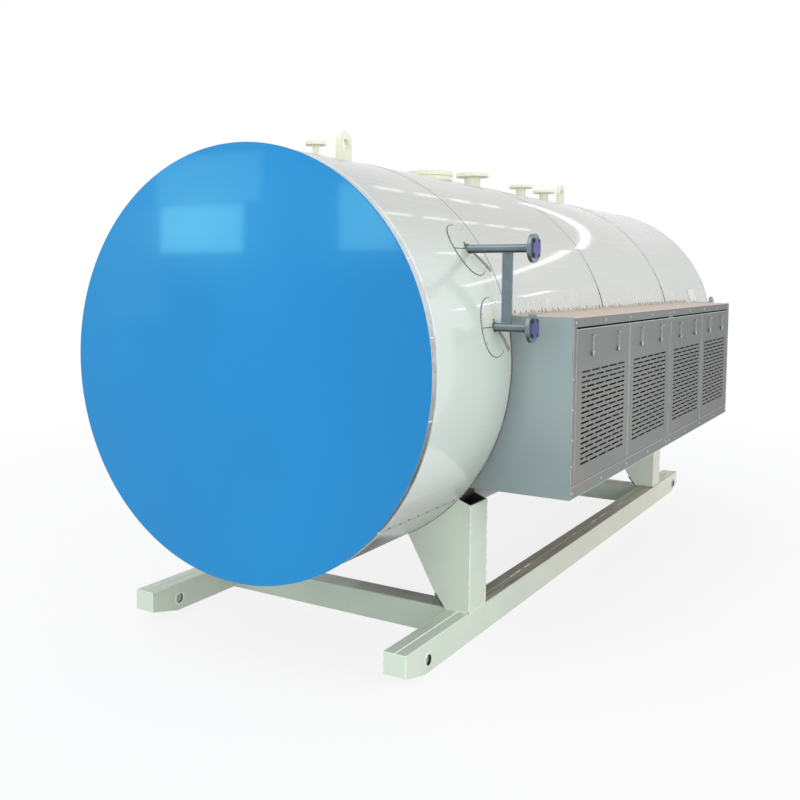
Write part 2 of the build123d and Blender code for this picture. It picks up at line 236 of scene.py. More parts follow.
def finish_drum():
    sheet = Finish("drum_sheet", (196, 199, 194), 0.34, coat=0.55, specular=0.2)
    soft = sheet.noise(0.9, 0, 0.5, (1, 0.45, 1))
    creases = sheet.noise(2.8, 1, 0.5, (1, 0.4, 1))
    grain = sheet.noise(55, 2, 0.5, (1, 0.03, 1))
    height, along = sheet.place(Z), sheet.place(Y)
    sheet.tint((184, 188, 183), sheet.ramp(soft, 0.35, 0.75, 0, 0.5))
    # Painted light and shade: lighter on the front course, darker over the crown, darker again towards the
    # underside and under the front course
    sheet.tint((206, 218, 209), sheet.fade(Y, -1.7, -2.3, 0.8))
    sheet.tint((168, 167, 163), sheet.fade(Z, 1.8, 2.4, 0.85))
    sheet.tint((172, 177, 171), sheet.fade(Z, 1.15, 0.8, 0.85))
    sheet.tint((78, 83, 82), sheet.fade(Z, 0.58, 0.53, 0.9))
    under_rim = sheet.plus(sheet.times(sheet.plus(along, 2.76), 0.25), height)
    sheet.tint((58, 62, 65), sheet.ramp(under_rim, 0.77, 0.72, 0, 0.95))
    sheet.tint((214, 218, 213), sheet.ramp(grain, 0.45, 0.8, 0, 0.2))
    sheet.mottle((190, 184, 172), (9, 5, 0.7), 0.6, 0.85, 0.35)

    # Crumpled where it is cut over the cabinet's top plate: the crumples are bumps, and their light and dark
    # hatch is painted highlight and shade
    cabinet_side = sheet.fade(X, 0.3, 0.5)
    over_plate = sheet.times(sheet.fade(Z, 1.87, 1.8), sheet.fade(Z, 1.735, 1.74))
    crumpled = sheet.times(cabinet_side, sheet.fade(Y, -1.9, -1.6), over_plate)
    hatch = sheet.noise(48, 3, 0.65, (1, 1, 0.22))
    sheet.tint((232, 232, 226), sheet.times(crumpled, sheet.ramp(hatch, 0.54, 0.7, 0, 0.7)))
    sheet.tint((196, 178, 164), sheet.times(crumpled, sheet.ramp(hatch, 0.46, 0.36, 0, 0.7)))

    # Painted shade: black inside the cabinet, dark under it
    hidden = sheet.times(cabinet_side, sheet.fade(Y, -1.921, -1.919), sheet.fade(Y, 1.927, 1.925))
    in_cabinet = sheet.times(sheet.fade(Z, 0.836, 0.838), sheet.fade(Z, 1.737, 1.735))
    sheet.tint((18, 18, 18), sheet.times(hidden, in_cabinet))
    sheet.tint((86, 80, 74), sheet.times(hidden, sheet.fade(Z, 0.838, 0.836)))

    # Yellow stain over the lower gauge pipe
    stain = sheet.ramp(sheet.squares((along, -2.137, 0.036), (height, 1.75, 0.034)), 1.6, 0.3)
    stain = sheet.times(stain, sheet.ramp(sheet.noise(22, 3, 0.6), 0.35, 0.6))
    sheet.tint((214, 204, 150), sheet.times(stain, sheet.fade(X, 0.4, 0.5, 0.7)))
    sheet.gloss(soft, 0.24, 0.36)
    sheet.link(sheet.ramp(height, 1.15, 0.75, 0.55, 0.03), sheet.shader.inputs["Coat Weight"])
    sheet.relief(creases, 0.007, 0.4)
    sheet.relief(grain, 0.0003, 0.12)
    sheet.relief(sheet.times(crumpled, hatch), 0.004, 0.35)

    blue = Finish("cover_gloss_blue", (9, 127, 189), 0.16, coat=0.35, specular=0.2)
    broad = blue.noise(1.2, 1, 0.5)
    blue.tint((11, 133, 196), blue.ramp(broad, 0.35, 0.7, 0, 0.5))
    # Painted shade: darker towards +x
    blue.tint((8, 117, 178), blue.fade(X, 0.1, 0.9, 0.6))
    blue.gloss(broad, 0.13, 0.2)
    blue.relief(broad, 0.01, 0.15)
    blue.relief(blue.noise(120, 2, 0.5), 0.0006, 0.25)

    band = Finish("rim_primer", (196, 199, 199), 0.45, specular=0.25)
    band.mottle((172, 164, 158), (7, 5, 0.7), 0.48, 0.66, 0.8)
    # Painted shade: darker towards the bottom, in patches
    shade_patches = band.ramp(band.noise(16, 4, 0.6), 0.3, 0.6, 0.75, 1)
    band.tint((70, 62, 54), band.times(band.fade(Z, 1.8, 0.95), shade_patches))
    band.mottle((70, 60, 56), (30, 5, 0.7, (1, 0.4, 1)), 0.64, 0.74, 0.8)
    band.relief(band.noise(40, 4, 0.6), 0.002, 0.4)

    primer = Finish("shell_primer", (96, 92, 88), 0.6)
    primer.mottle((120, 84, 62), (5, 5, 0.7), 0.5, 0.7, 0.7)

    edge = Finish("bright_sheet_edge", (240, 244, 242), 0.25, metallic=0.3)
    edge.mottle((206, 222, 228), (6, 4, 0.7), 0.4, 0.7, 0.8)

    rim = Finish("cover_edge", (226, 238, 240), 0.3)
    # Painted shade: the cover's edge darker towards the bottom
    rim.tint((58, 66, 78), rim.fade(Z, 1.5, 0.9))

    plate = Finish("repair_sheet", (222, 224, 216), 0.35, coat=0.3)
    plate.mottle((204, 205, 196), (20, 3, 0.6), 0.45, 0.7, 0.6)
    return {"sheet": sheet, "blue": blue, "band": band, "primer": primer, "edge": edge, "rim": rim,
            "plate": plate}


def finish_skid():
    skid = Finish("skid_green_grey", (208, 219, 203), 0.38, coat=0.15)
    wear = skid.noise(6, 5, 0.65)
    skid.mottle((196, 208, 194), (2.2, 3, 0.5), 0.4, 0.7, 0.6)
    skid.tint((186, 178, 160), skid.ramp(wear, 0.6, 0.8, 0, 0.4))
    across, along = skid.plus(skid.place(X), -ORIGIN.x), skid.place(Y)
    side = skid.apart(across)

    # Dust lies on the rails under the cabinet
    under_cabinet = skid.times(skid.fade(Y, -2.0, -1.4), skid.fade(Z, 0.3, 0.2))
    dust = skid.times(skid.turned(Z, 0.7, 0.95), under_cabinet, skid.ramp(wear, 0.3, 0.6, 0.7, 1))
    skid.tint((206, 198, 180), dust)
    streaks = skid.ramp(skid.noise(14, 4, 0.7, (1, 0.05, 1)), 0.5, 0.66)
    skid.tint((140, 130, 112), skid.times(dust, skid.most(streaks, skid.ramp(side, 0.858, 0.864))))

    # Painted light: the rear legs' fronts lighter above the foot, and warm light on the faces turned to +x,
    # more towards the rear
    rear_leg = skid.times(skid.turned(Y, -0.7, -0.9), skid.fade(Y, 1.6, 1.7))
    skid.tint((240, 249, 233), skid.times(rear_leg, skid.fade(Z, 0.17, 0.18)))
    warm = skid.times(skid.fade(Y, -1.8, 0.4, 0.7), skid.turned(X, 0.7, 0.9))
    skid.tint((228, 222, 202), skid.times(warm, skid.ramp(skid.noise(3.4, 3, 0.6), 0.3, 0.6, 0.6, 1)))
    skid.mottle((120, 104, 86), (34, 4, 0.7), 0.7, 0.8, 0.4)

    # Painted shade inside the legs
    in_leg = skid.ramp(skid.apart(skid.apart(along), SADDLE_REACH), 0.1005, 0.0985)
    in_leg = skid.times(in_leg, skid.ramp(side, 0.8605, 0.8595), skid.fade(Z, 0.17, 0.2))
    turned_in = skid.most(skid.ramp(skid.times(skid.facing(X), across), 0.1, 0.2),
                          skid.ramp(skid.apart(skid.facing(Y)), 0.6, 0.8))
    turned_in = skid.most(turned_in, skid.ramp(side, 0.845, 0.85))
    skid.tint((54, 55, 51), skid.times(in_leg, turned_in))

    # Painted light deep in the sling holes, painted shade at their mouths
    size = SLING_BORE / 1000
    for y, z in SLING_PLACES:
        reach = skid.squares((along, y / 1000 + ORIGIN.y, size), (skid.place(Z), z / 1000, size))
        bore = skid.times(skid.ramp(reach, 1.006, 0.994), skid.ramp(skid.apart(skid.facing(X)), 0.7, 0.5))
        skid.tint((236, 248, 232), bore)
        mouth = skid.most(skid.ramp(side, 0.857, 0.863), skid.ramp(side, 0.757, 0.75))
        skid.tint((44, 46, 42), skid.times(bore, mouth))
    skid.gloss(wear, 0.3, 0.45)
    skid.relief(skid.noise(90, 3, 0.6), 0.0006, 0.25)

    # Pale welds, and painted edge highlights in the same finish
    weld = Finish("pale_weld_and_edge_highlight", (240, 246, 234), 0.34)
    weld.mottle((196, 202, 184), (60, 4, 0.6), 0.5, 0.7, 0.6)
    dusty_weld = weld.times(weld.fade(Y, -2.0, -1.4), weld.fade(Z, 0.18, 0.165))
    weld.tint((150, 142, 126), weld.times(dusty_weld, weld.ramp(weld.noise(4, 4, 0.7), 0.42, 0.52)))
    weld.relief(weld.noise(160, 3, 0.6), 0.0015, 0.5)
    return {"skid": skid, "weld": weld}


def finish_fittings():
    cream = Finish("fitting_cream", (243, 243, 220), 0.42)
    cream.mottle((226, 226, 196), (14, 4, 0.6), 0.5, 0.75, 0.6)
    cream.mottle((150, 132, 100), (60, 4, 0.7), 0.68, 0.8, 0.45)
    cream.relief(cream.noise(140, 3, 0.6), 0.0006, 0.3)

    grey = Finish("gauge_pipe_grey", (108, 122, 127), 0.26, coat=0.3, specular=0.3)
    grey.mottle((92, 106, 110), (12, 4, 0.6), 0.45, 0.7, 0.6)
    grey.mottle((150, 162, 163), (70, 3, 0.6), 0.68, 0.82, 0.5)
    # Painted light and shade: a light band on the faces turned half up, darker on top, darkest underneath
    grey.tint((160, 172, 170), grey.times(grey.turned(Z, 0.15, 0.4), grey.turned(Z, 0.8, 0.6), 0.75))
    grey.tint((66, 76, 80), grey.turned(Z, 0.86, 0.98, 0.6))
    grey.tint((38, 45, 48), grey.turned(Z, -0.2, -0.7, 0.9))
    grey.relief(grey.noise(110, 3, 0.6), 0.0006, 0.3)

    cap = Finish("cap_blue_violet", (72, 78, 132), 0.4)
    cap.mottle((52, 58, 104), (24, 4, 0.6), 0.4, 0.7, 0.7)
    cap.mottle((120, 122, 160), (120, 3, 0.7), 0.66, 0.8, 0.4)
    cap.relief(cap.noise(160, 2, 0.5), 0.0005, 0.3)

    # Painted shade: dark studs stand for the shade in the caps' bolt holes
    dark = Finish("cap_hole_shade", (34, 34, 48), 0.6)
    dark.mottle((52, 52, 72), (80, 3, 0.6), 0.5, 0.7, 0.6)
    return {"cream": cream, "grey": grey, "cap": cap, "dark": dark}


def paint_slots(front, middle):
    """Paints shade on the walls and lips of a door's slots: even rows are centred on the door, odd rows half a
    slot off.
    """
    row = front.times(front.plus(front.place(Z), -SLOT_LOW / 1000), 1000 / SLOT_RISE)
    nearest = front.work_out("ROUND", row)
    off_row = front.apart(row, nearest)
    shift = front.work_out("FRACT", front.times(nearest, 0.5))
    place = front.plus(front.place(Y), -(middle / 1000 + ORIGIN.y))
    step = front.plus(front.times(place, 1000 / SLOT_PITCH), shift)
    off_slot = front.apart(step, front.work_out("ROUND", step))
    lips = front.times(front.ramp(off_row, (SLOT_RADIUS + 0.3) / SLOT_RISE, SLOT_RADIUS / SLOT_RISE),
                       front.ramp(off_slot, (SLOT_HALF + 0.4) / SLOT_PITCH, SLOT_HALF / SLOT_PITCH))
    middle_row = (SLOT_ROWS - 1) / 2
    inside = front.times(front.ramp(front.apart(place), SLOTS_REACH / 1000 + 0.0004, SLOTS_REACH / 1000),
                         front.ramp(front.apart(nearest, middle_row), middle_row + 0.6, middle_row + 0.4))
    front.tint((22, 22, 23), front.times(lips, inside))


def finish_cabinet():
    made = {}
    cabinet = Finish("cabinet_blue_grey", (150, 165, 165), 0.36, coat=0.15)
    cabinet.mottle((140, 154, 155), (1.6, 2, 0.5), 0.3, 0.7, 0.6)
    # Painted shade: darker towards the bottom and near the drum, and black on the faces turned into the cabinet
    cabinet.tint((126, 140, 141), cabinet.fade(Z, 1.45, 0.85, 0.8))
    cabinet.mottle((160, 160, 154), (9, 4, 0.6), 0.6, 0.85, 0.25)
    off_axis = cabinet.squares((cabinet.place(X), ORIGIN.x, 1), (cabinet.place(Z), AXIS / 1000, 1))
    cabinet.tint((120, 133, 134), cabinet.ramp(off_axis, 1.5, 1.17, 0, 0.7))
    inner_face = cabinet.ramp(cabinet.times(cabinet.facing(Y), cabinet.place(Y)), -0.5, -1.0)
    cabinet.tint((18, 19, 19), inner_face)
    cabinet.relief(cabinet.noise(170, 2, 0.5), 0.0003, 0.2)
    made["cabinet"] = cabinet

    # Painted highlight: light strips on the folded edges
    fold = Finish("cabinet_fold_highlight", (172, 180, 180), 0.34, coat=0.2)
    fold.mottle((132, 138, 138), (18, 4, 0.7), 0.45, 0.7, 0.7)
    made["fold"] = fold

    for number, middle in enumerate((None, *DOOR_MIDDLES)):
        front = Finish("door_grey_%d" % number if number else "cabinet_front_grey", (116, 117, 114), 0.42,
                       specular=0.3)
        front.mottle((104, 107, 106), (1.8, 2, 0.5, (1, 0.5, 1)), 0.3, 0.7, 0.7)
        # Painted light and shade: lighter and warmer towards the front, darker towards the top and towards the
        # rear
        front.tint((122, 118, 115), front.fade(Y, -1.5, -1.85, 0.5))
        front.tint((104, 112, 110), front.fade(Z, 1.35, 1.6, 0.7))
        front.tint((86, 88, 86), front.fade(Y, -1.2, 1.6, 0.8))
        front.mottle((138, 132, 123), (11, 4, 0.6), 0.62, 0.85, 0.25)
        # Painted shade: black on the faces turned into the cabinet
        front.tint((26, 27, 28), front.turned(X, -0.3, -0.6))
        if number:
            paint_slots(front, middle)
        front.relief(front.noise(170, 2, 0.5), 0.0003, 0.2)
        made["door_%d" % number if number else "front"] = front

    # Painted shade: the cabinet's floor dark below, and black on its faces turned up into the cabinet
    under = Finish("cabinet_under_shade", (66, 67, 66), 0.5)
    under.mottle((84, 82, 78), (5, 4, 0.6), 0.45, 0.7, 0.8)
    under.tint((18, 18, 18), under.turned(Z, 0.3, 0.6))
    made["under"] = under

    dusty = Finish("cabinet_top_dust", (150, 158, 158), 0.6)
    dusty.tint((202, 184, 170), dusty.ramp(dusty.noise(3.2, 5, 0.65, (1, 0.4, 1)), 0.25, 0.5, 0.45, 1))
    dusty.mottle((176, 150, 134), (26, 5, 0.7), 0.52, 0.7, 0.6)
    dusty.mottle((206, 203, 196), (9, 5, 0.7), 0.5, 0.7, 0.7)
    # Painted shade: black on the faces turned down into the cabinet
    dusty.tint((18, 19, 19), dusty.turned(Z, -0.3, -0.6))
    dusty.relief(dusty.noise(120, 3, 0.7), 0.0012, 0.4)
    made["dusty"] = dusty

    # Each latch's foot is duller than its lever
    steel = Finish("latch_bright_steel", (214, 214, 210), 0.34, metallic=0.5)
    steel.mottle((150, 152, 150), (60, 3, 0.6), 0.45, 0.7, 0.7)
    # Painted shade: darker underneath and on the sides turned to +x
    steel.tint((84, 86, 86), steel.turned(Z, -0.2, -0.8, 0.8))
    steel.tint((84, 86, 86), steel.turned(X, 0.6, 0.9, 0.7))
    steel.tint((108, 110, 108), steel.fade(X, 1.2345, 1.234))
    made["steel"] = steel

    screw = Finish("screw_zinc", (198, 200, 196), 0.45, metallic=0.3)
    screw.mottle((150, 148, 142), (120, 3, 0.6), 0.5, 0.75, 0.6)
    made["screw"] = screw
    return made


def finish_seams():
    seam = Finish("lap_shadow", (96, 90, 86), 0.6)
    seam.mottle((140, 134, 128), (22, 4, 0.7), 0.42, 0.62, 0.8)
    seam.tint((142, 138, 132), seam.fade(Z, 1.9, 2.4, 0.9))

    # Dark sealant, rivets and marks, and painted shade at the legs, the sill and round the gauge pipes' roots
    seal_and_shade = Finish("dark_seal_and_shade", (74, 70, 66), 0.6)
    seal_and_shade.mottle((128, 116, 104), (30, 5, 0.7), 0.45, 0.7, 0.8)
    seal_and_shade.relief(seal_and_shade.noise(90, 3, 0.7), 0.002, 0.5)

    slip = Finish("bare_insulation", (158, 154, 150), 0.7)
    slip.mottle((118, 112, 108), (60, 5, 0.7), 0.42, 0.62, 0.8)
    slip.relief(slip.noise(90, 4, 0.7), 0.002, 0.5)

    caulk = Finish("pale_caulk", (214, 204, 190), 0.65)
    caulk.mottle((186, 160, 140), (20, 5, 0.7), 0.42, 0.65, 0.8)
    caulk.relief(caulk.noise(70, 4, 0.7), 0.004, 0.6)
    return {"seam": seam, "seal_and_shade": seal_and_shade, "slip": slip, "caulk": caulk}


def finish_floor():
    """White to the eye and in reflections, a little darker near the boiler, and lit as a plain floor."""
    floor = Finish("pale_floor", (228, 228, 226), 0.85)
    glow = floor.tree.nodes.new("ShaderNodeEmission")
    mixed = floor.tree.nodes.new("ShaderNodeMixShader")
    paths = floor.tree.nodes.new("ShaderNodeLightPath").outputs
    reflected = floor.most(paths["Is Glossy Ray"], paths["Is Transmission Ray"])
    shown = floor.most(reflected, paths["Is Camera Ray"])
    reach = floor.squares((floor.place(X), 0, 1), (floor.place(Y), 0, 1))
    floor.link(floor.times(shown, floor.ramp(reach, 6, 60, 0.84, 1)), mixed.inputs["Fac"])
    floor.link(floor.shader.outputs[0], mixed.inputs[1])
    floor.link(glow.outputs[0], mixed.inputs[2])
    floor.link(mixed.outputs[0], floor.tree.nodes["Material Output"].inputs["Surface"])
    return {"floor": floor}


# Pieces
def add_piece(name, mesh, finish):
    """Ends a piece that was drawn in drum millimetres."""
    bmesh.ops.transform(mesh, matrix=TO_FRAME, verts=mesh.verts)
    bmesh.ops.recalc_face_normals(mesh, faces=mesh.faces)
    data = bpy.data.meshes.new(name)
    mesh.to_mesh(data)
    mesh.free()
    data.materials.append(MATERIALS[finish])
    data.shade_smooth()
    data.set_sharp_from_angle(angle=math.radians(40))
    obj = bpy.data.objects.new(name, data)
    scene.collection.objects.link(obj)
    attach(obj, "root")


def verts_of(geometry):
    return [item for item in geometry if isinstance(item, bmesh.types.BMVert)]


def edges_at(verts):
    return list({edge for vert in verts for edge in vert.link_edges})


def chamfer(mesh, edges, width):
    bmesh.ops.bevel(mesh, geom=edges, offset=width, offset_type="OFFSET", segments=1, profile=0.5,
                    affect="EDGES", material=-1)


def lay_bead(mesh, start, end, radius, step=14, sides=6):
    """A rippled weld bead between two points, half sunk in what carries it."""
    start, end = Vector(start), Vector(end)
    count = max(2, round((end - start).length / step))
    turn = (end - start).to_track_quat("Z", "X").to_matrix().to_4x4()
    ring = bmesh.ops.create_circle(
        mesh, cap_ends=True, segments=sides, radius=radius, matrix=Matrix.Translation(start) @ turn)["verts"]
    edges = edges_at(ring)
    stride = (end - start) / count
    for index in range(count):
        grown = bmesh.ops.extrude_edge_only(mesh, edges=edges)["geom"]
        ring = verts_of(grown)
        edges = [item for item in grown if isinstance(item, bmesh.types.BMEdge)
                 and all(vert in ring for vert in item.verts)]
        bmesh.ops.translate(mesh, verts=ring, vec=stride)
        middle = start + stride * (index + 1)
        swell = chance.uniform(0.82, 1.12) if index < count - 1 else 0.5
        for vert in ring:
            reach = vert.co - middle
            vert.co = middle + reach * (radius * swell / reach.length)
    bmesh.ops.contextual_create(mesh, geom=edges)


def lay_ring(mesh, centre, axis, radius, thickness, steps=40, sides=6):
    """A round bead about an axis through a centre."""
    centre, axis = Vector(centre), Vector(axis).normalized()
    out = axis.orthogonal().normalized()
    facing = Matrix((out, axis, axis.cross(out))).transposed().to_4x4()
    made = bmesh.ops.create_circle(
        mesh, cap_ends=False, segments=sides, radius=thickness,
        matrix=Matrix.Translation(centre + out * radius) @ facing)["verts"]
    bmesh.ops.spin(mesh, geom=made + edges_at(made), cent=centre, axis=axis, angle=math.tau, steps=steps,
                   use_merge=True)


def add_button(mesh, place, facing, radius, height, sides=10):
    """A screw's or rivet's low round head, standing on a face."""
    place, facing = Vector(place), Vector(facing).normalized()
    turn = facing.to_track_quat("Z", "X").to_matrix().to_4x4()
    made = bmesh.ops.create_cone(
        mesh, cap_ends=True, segments=sides, radius1=radius, radius2=radius * 0.72, depth=height,
        matrix=Matrix.Translation(place + facing * height / 2) @ turn)["verts"]
    top = [edge for edge in edges_at(made)
           if all((vert.co - place).dot(facing) > height * 0.9 for vert in edge.verts)]
    chamfer(mesh, top, height * 0.35)


def on_cladding(angle, y, above=0.0):
    """A point on the drum, by its angle over the horizontal on the cabinet's side."""
    turn = math.radians(angle)
    return Vector(((CLAD + above) * math.cos(turn), y, AXIS + (CLAD + above) * math.sin(turn)))


def out_of_drum(angle):
    return on_cladding(angle, 0) - Vector((0, 0, AXIS))


def lay_strip(mesh, angle, y_start, y_end, width, thickness):
    """A flat strip that lies lengthwise on the cladding."""
    half = math.degrees(width / 2 / CLAD)
    corners = [on_cladding(angle + side * half, y_start, lift)
               for side, lift in ((-1, -2), (1, -2), (1, thickness), (-1, thickness))]
    face = mesh.faces.new([mesh.verts.new(corner) for corner in corners])
    grown = bmesh.ops.extrude_face_region(mesh, geom=[face])["geom"]
    bmesh.ops.translate(mesh, verts=verts_of(grown), vec=(0, y_end - y_start, 0))


def lay_band(mesh, y_start, y_end, low, high, steps=160):
    """A flat ring that lies round the drum, from one radius to another."""
    corners = [(0, y, AXIS + radius) for y, radius in
               ((y_start, low), (y_end, low), (y_end, high), (y_start, high))]
    verts = [mesh.verts.new(corner) for corner in corners]
    edges = [mesh.edges.new((verts[i], verts[(i + 1) % 4])) for i in range(4)]
    bmesh.ops.spin(mesh, geom=verts + edges, cent=(0, 0, AXIS), axis=(0, 1, 0), angle=math.tau, steps=steps,
                   use_merge=True)


def add_bar(mesh, low, high):
    """A bar with broken edges between two corners."""
    low, high = Vector(low), Vector(high)
    size = high - low
    made = bmesh.ops.create_cube(mesh, size=1)["verts"]
    bmesh.ops.scale(mesh, verts=made, vec=size)
    bmesh.ops.translate(mesh, verts=made, vec=(low + high) / 2)
    chamfer(mesh, edges_at(made), min(size) * 0.2)


def lay_arc(mesh, y, low, high, radius, above=0.0):
    """A round bead that follows the drum at one place along it, from one angle to another."""
    count = max(1, round((high - low) / 1.5))
    for index in range(count):
        first, second = (low + (high - low) * (index + step) / count for step in (0, 1))
        lay_bead(mesh, on_cladding(first, y, above), on_cladding(second, y, above), radius, step=60, sides=5)


def dress_drum():
    laps, lines, rivets = bmesh.new(), bmesh.new(), bmesh.new()
    for seam in SEAMS:
        lay_band(laps, seam - SEAM_LAP, seam + 1, CLAD - 2, CLAD + 0.5)
        lay_band(lines, seam - 1, seam + 3.5, CLAD - 2, CLAD + 1.3)
    for seam in SEAMS[1:]:
        lay_arc(lines, seam + 4, 13.6, 21, 5)
        lay_arc(lines, seam + 2, 21, 30, 3)
    ends = (BAND_END, *SEAMS, LENGTH - BAND_END)
    for start, end in zip(ends, ends[1:]):
        lay_strip(laps, LAP_ANGLE, start + 6, end - 60, 34, 1.2)
        lay_strip(lines, LAP_ANGLE - 1, start + 6, end - 60, 3.5, 1.8)
        for index in range(round((end - start - 80) / RIVET_PITCH)):
            spot = start + 60 + index * RIVET_PITCH
            add_button(rivets, on_cladding(LAP_ANGLE - 0.5, spot + chance.uniform(-14, 14), 1.2),
                       out_of_drum(LAP_ANGLE), chance.uniform(4, 7.5), 2.6, 8)
    add_piece("sheet_laps", laps, "sheet")
    add_piece("lap_lines", lines, "seam")
    add_piece("lap_rivets", rivets, "seal_and_shade")

    edges, cover_edge, joints = bmesh.new(), bmesh.new(), bmesh.new()
    lay_band(edges, BAND_END - 2, BAND_END + 5, CLAD - 6, CLAD + 2)
    lay_band(edges, LENGTH - BAND_END - 5, LENGTH - BAND_END + 2, CLAD - 6, CLAD + 2)
    add_piece("sheet_edges", edges, "edge")
    lay_band(cover_edge, 7, 11, CLAD - 4, CLAD + 4.2)
    add_piece("cover_edge", cover_edge, "rim")
    for angle in BAND_JOINTS:
        lay_bead(joints, on_cladding(angle, 12, -4), on_cladding(angle, BAND_END - 4, -4), 4, step=18)
    add_piece("band_joints", joints, "edge")

    joint = bmesh.new()
    for y in (CABINET_FRONT - 4, CABINET_REAR + 4):
        lay_arc(joint, y, -37.6, 13.2, 3.4, 0.5)
    add_piece("panel_joint", joint, "seam")

    repair, shadow = bmesh.new(), bmesh.new()
    lay_strip(repair, REPAIR_ANGLE, REPAIR_FRONT, REPAIR_REAR, REPAIR_HEIGHT, 3)
    chamfer(repair, repair.edges[:], 1)
    add_piece("repair_plate", repair, "plate")
    lay_strip(shadow, REPAIR_ANGLE, REPAIR_FRONT - 5, REPAIR_FRONT + 1, REPAIR_HEIGHT, 2)
    add_piece("repair_plate_edge", shadow, "seam")


def dress_gauge():
    lines, slits, gaps, dots = bmesh.new(), bmesh.new(), bmesh.new(), bmesh.new()
    angles = [math.degrees(math.asin((height - AXIS) / CLAD)) for height in GAUGE_HEIGHTS]
    per_mm = math.degrees(1 / CLAD)
    steps = 58
    for angle in angles:
        for index in range(steps):
            turns = (math.radians(85) + math.radians(220) * (index + step) / steps for step in (0, 1))
            first, second = (on_cladding(angle + PATCH_LINE * math.sin(turn) * per_mm,
                                         GAUGE_Y + PATCH_LINE * math.cos(turn), 1.6) for turn in turns)
            width = 1.5 + 0.8 * math.sin(math.pi * index / (steps - 1))
            lay_bead(lines, first, second, width, step=20, sides=4)
    add_piece("patch_outlines", lines, "seal_and_shade")

    # Two corners of each gap at the pipe's root, and the two at its far end: along the drum, and down
    near_corners, far_corners = ((18, 14), (58, 20)), ((142, 130), (166, 116))
    for height, angle in zip(GAUGE_HEIGHTS, angles):
        lay_strip(slits, angle, GAUGE_Y - PATCH_LINE, GAUGE_Y - 24, 4, 2.6)
        facing = out_of_drum(angle)
        rows = []
        for step in range(7):
            row = []
            for (near, low), (far, high) in zip(near_corners, far_corners):
                down, ahead = low + (high - low) * step / 6, near + (far - near) * step / 6
                row.append(gaps.verts.new(on_cladding(angle - down * per_mm, GAUGE_Y + ahead, 3.4)))
            rows.append(row)
        faces = [gaps.faces.new((*first, *reversed(second))) for first, second in zip(rows, rows[1:])]
        grown = bmesh.ops.extrude_face_region(gaps, geom=faces)["geom"]
        bmesh.ops.translate(gaps, verts=verts_of(grown), vec=-facing.normalized() * 5)
        add_button(dots, on_cladding(angle + 34 * per_mm, GAUGE_Y + 2, 1.8), facing, 8, 3)
        for turn in map(math.radians, (60, 150, 215, 300)):
            add_button(dots, on_cladding(angle + PATCH_SCREW * math.sin(turn) * per_mm,
                                         GAUGE_Y + PATCH_SCREW * math.cos(turn), 1.8), facing, 3.5, 1.6, 8)
        # Painted shade: a dark ring round each pipe's root
        lay_ring(dots, (CLAD * math.cos(math.radians(angle)) + 2, GAUGE_Y, height), (1, 0, 0), 23, 3.5)
    add_piece("patch_slits", slits, "seal_and_shade")
    add_piece("patch_gaps", gaps, "slip")
    add_piece("patch_screws_and_root_shade", dots, "seal_and_shade")

    pins, welds = bmesh.new(), bmesh.new()
    # Studs at the cap bolts, dark as painted shade of bolt holes
    for height in GAUGE_HEIGHTS:
        for across, up in ((1, 1), (1, -1), (-1, 1), (-1, -1)):
            add_button(pins, (CLAD + GAUGE_REACH, GAUGE_Y + across * CAP_BOLT, height + up * CAP_BOLT),
                       (1, 0, 0), 9.5, 8, 12)
    add_piece("cap_holes", pins, "dark")
    for height, side in zip(GAUGE_HEIGHTS, (-1, 1)):
        edge = height + side * PIPE_RADIUS
        for y in (GAUGE_Y - 7, GAUGE_Y + 7):
            lay_bead(welds, (BRACE_INNER, y, edge), (BRACE_OUTER, y, edge), 3)
        lay_ring(welds, (FLANGE_BACK, GAUGE_Y, height), (1, 0, 0), 26, 3)
    add_piece("gauge_welds", welds, "grey")


